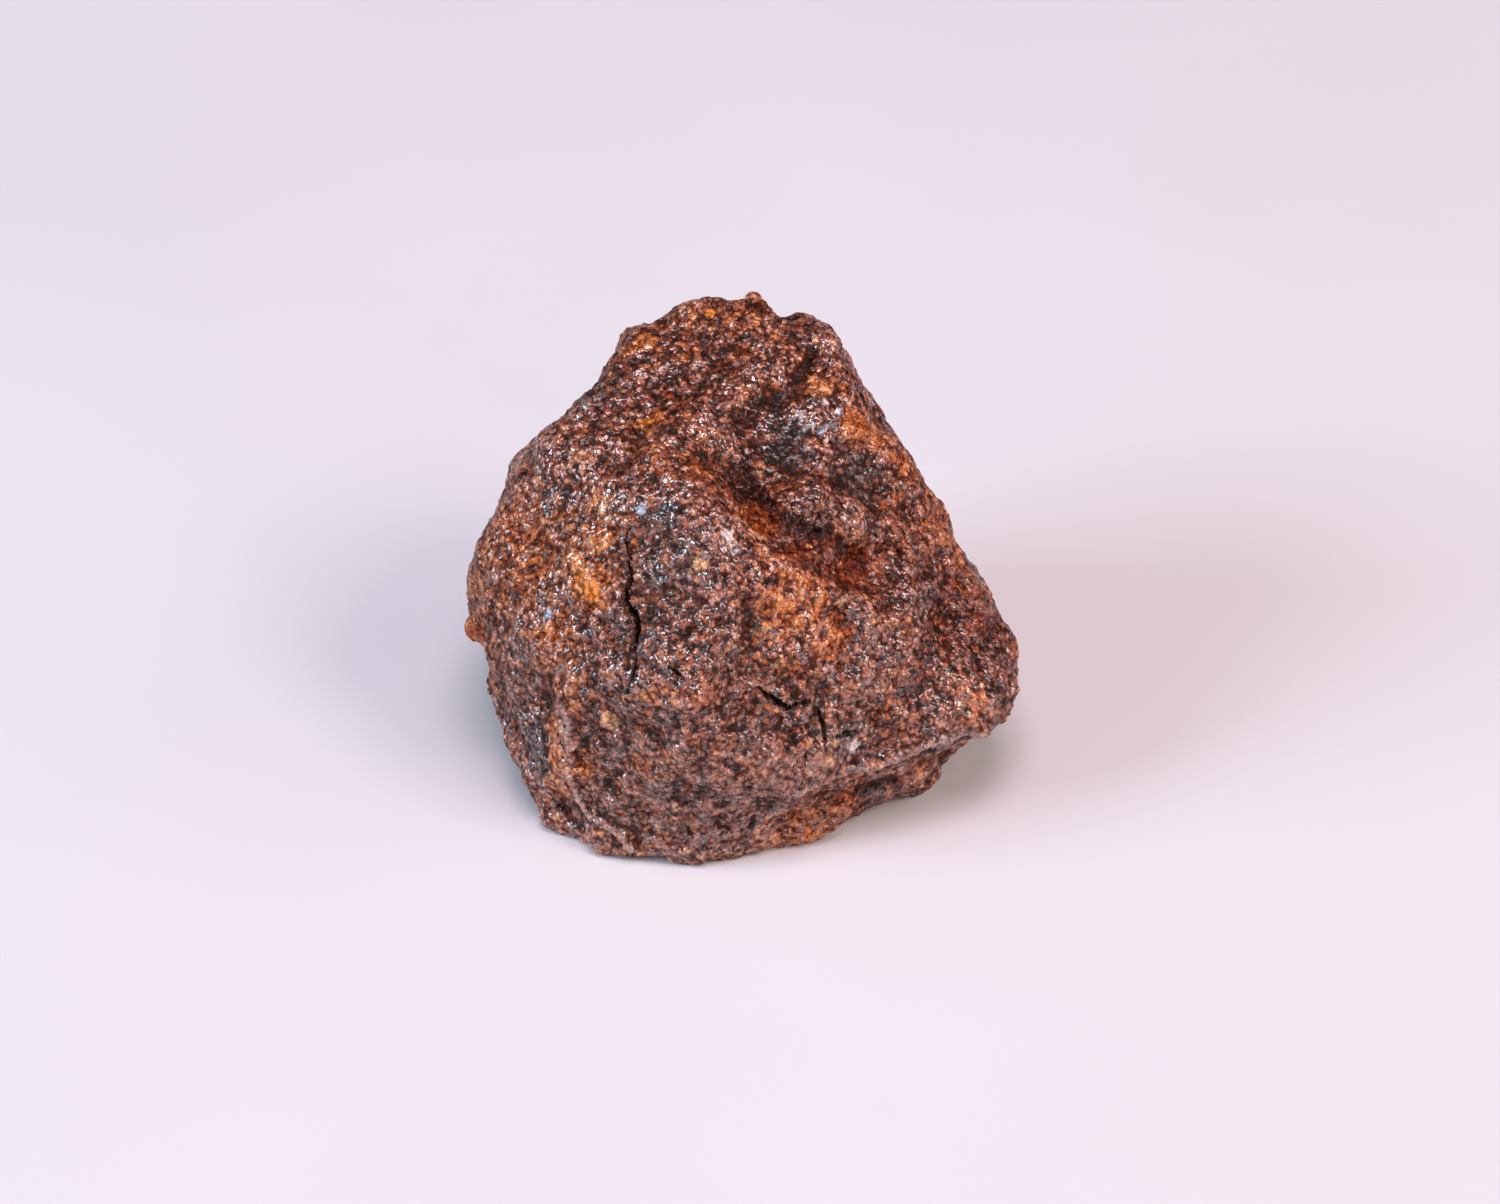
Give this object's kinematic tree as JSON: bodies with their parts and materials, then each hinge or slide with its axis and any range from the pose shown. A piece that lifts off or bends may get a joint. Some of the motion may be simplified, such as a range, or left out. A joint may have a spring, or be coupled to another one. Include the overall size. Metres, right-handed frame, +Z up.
{
  "type": "meteorite",
  "caption": "Loose rusty stony meteorite, a hand-sized angular stone with a granular glossy brown crust, a deep valley, two cracks and an undercut ledge.",
  "frame": {"origin": "middle of the underside: the centre of the bounding box in X and Y, at the height of the flat facet that the stone rests on", "axes": "+Z up, +X towards the broad bulge along the stone's greatest width, -Y towards the cracked front"},
  "size_m": [0.0561, 0.044, 0.0435],
  "materials": {
    "crust": "granular, weathered and rusty, with a glossy varnish"
  },
  "bodies": {
    "root": {"meteorite": "crust"}
  },
  "joints": []
}
